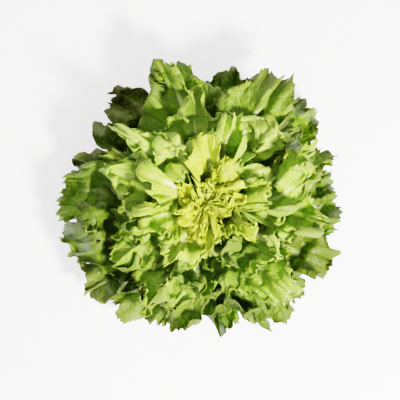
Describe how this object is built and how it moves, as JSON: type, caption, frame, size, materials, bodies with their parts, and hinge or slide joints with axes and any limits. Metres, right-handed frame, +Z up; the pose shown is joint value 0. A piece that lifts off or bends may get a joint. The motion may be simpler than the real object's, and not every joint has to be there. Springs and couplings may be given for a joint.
{
  "type": "curly endive head",
  "caption": "Cut head of curly endive: broad toothed, ruffled green leaves spread in a rosette round a pale yellow heart on a short stem.",
  "frame": {"origin": "centre of the stem's cut face, on the surface that the head stands on", "axes": "+Z up through the heart, +Y towards the top of the picture and +X towards its right"},
  "size_m": [0.3206, 0.3203, 0.1228],
  "materials": {
    "stem": "satin",
    "outer_leaf": "satin",
    "middle_leaf": "satin",
    "inner_leaf": "satin",
    "heart_leaf": "satin"
  },
  "bodies": {
    "root": {"stem": "stem", "outer_leaf_01": "outer_leaf", "outer_leaf_02": "outer_leaf", "outer_leaf_03": "outer_leaf", "outer_leaf_04": "outer_leaf", "outer_leaf_05": "outer_leaf", "outer_leaf_06": "outer_leaf", "outer_leaf_07": "outer_leaf", "outer_leaf_08": "outer_leaf", "outer_leaf_09": "outer_leaf", "outer_leaf_10": "outer_leaf", "outer_leaf_11": "outer_leaf", "outer_leaf_12": "outer_leaf", "outer_leaf_13": "outer_leaf", "outer_leaf_14": "outer_leaf", "outer_leaf_15": "outer_leaf", "outer_leaf_16": "outer_leaf", "outer_leaf_17": "outer_leaf", "outer_leaf_18": "outer_leaf", "middle_leaf_01": "middle_leaf", "middle_leaf_02": "middle_leaf", "middle_leaf_03": "middle_leaf", "middle_leaf_04": "middle_leaf", "middle_leaf_05": "middle_leaf", "middle_leaf_06": "middle_leaf", "middle_leaf_07": "middle_leaf", "middle_leaf_08": "middle_leaf", "middle_leaf_09": "middle_leaf", "middle_leaf_10": "middle_leaf", "middle_leaf_11": "middle_leaf", "middle_leaf_12": "middle_leaf", "middle_leaf_13": "middle_leaf", "middle_leaf_14": "middle_leaf", "inner_leaf_01": "inner_leaf", "inner_leaf_02": "inner_leaf", "inner_leaf_03": "inner_leaf", "inner_leaf_04": "inner_leaf", "inner_leaf_05": "inner_leaf", "inner_leaf_06": "inner_leaf", "inner_leaf_07": "inner_leaf", "inner_leaf_08": "inner_leaf", "inner_leaf_09": "inner_leaf", "inner_leaf_10": "inner_leaf", "inner_leaf_11": "inner_leaf", "heart_leaves": "heart_leaf"}
  },
  "joints": []
}
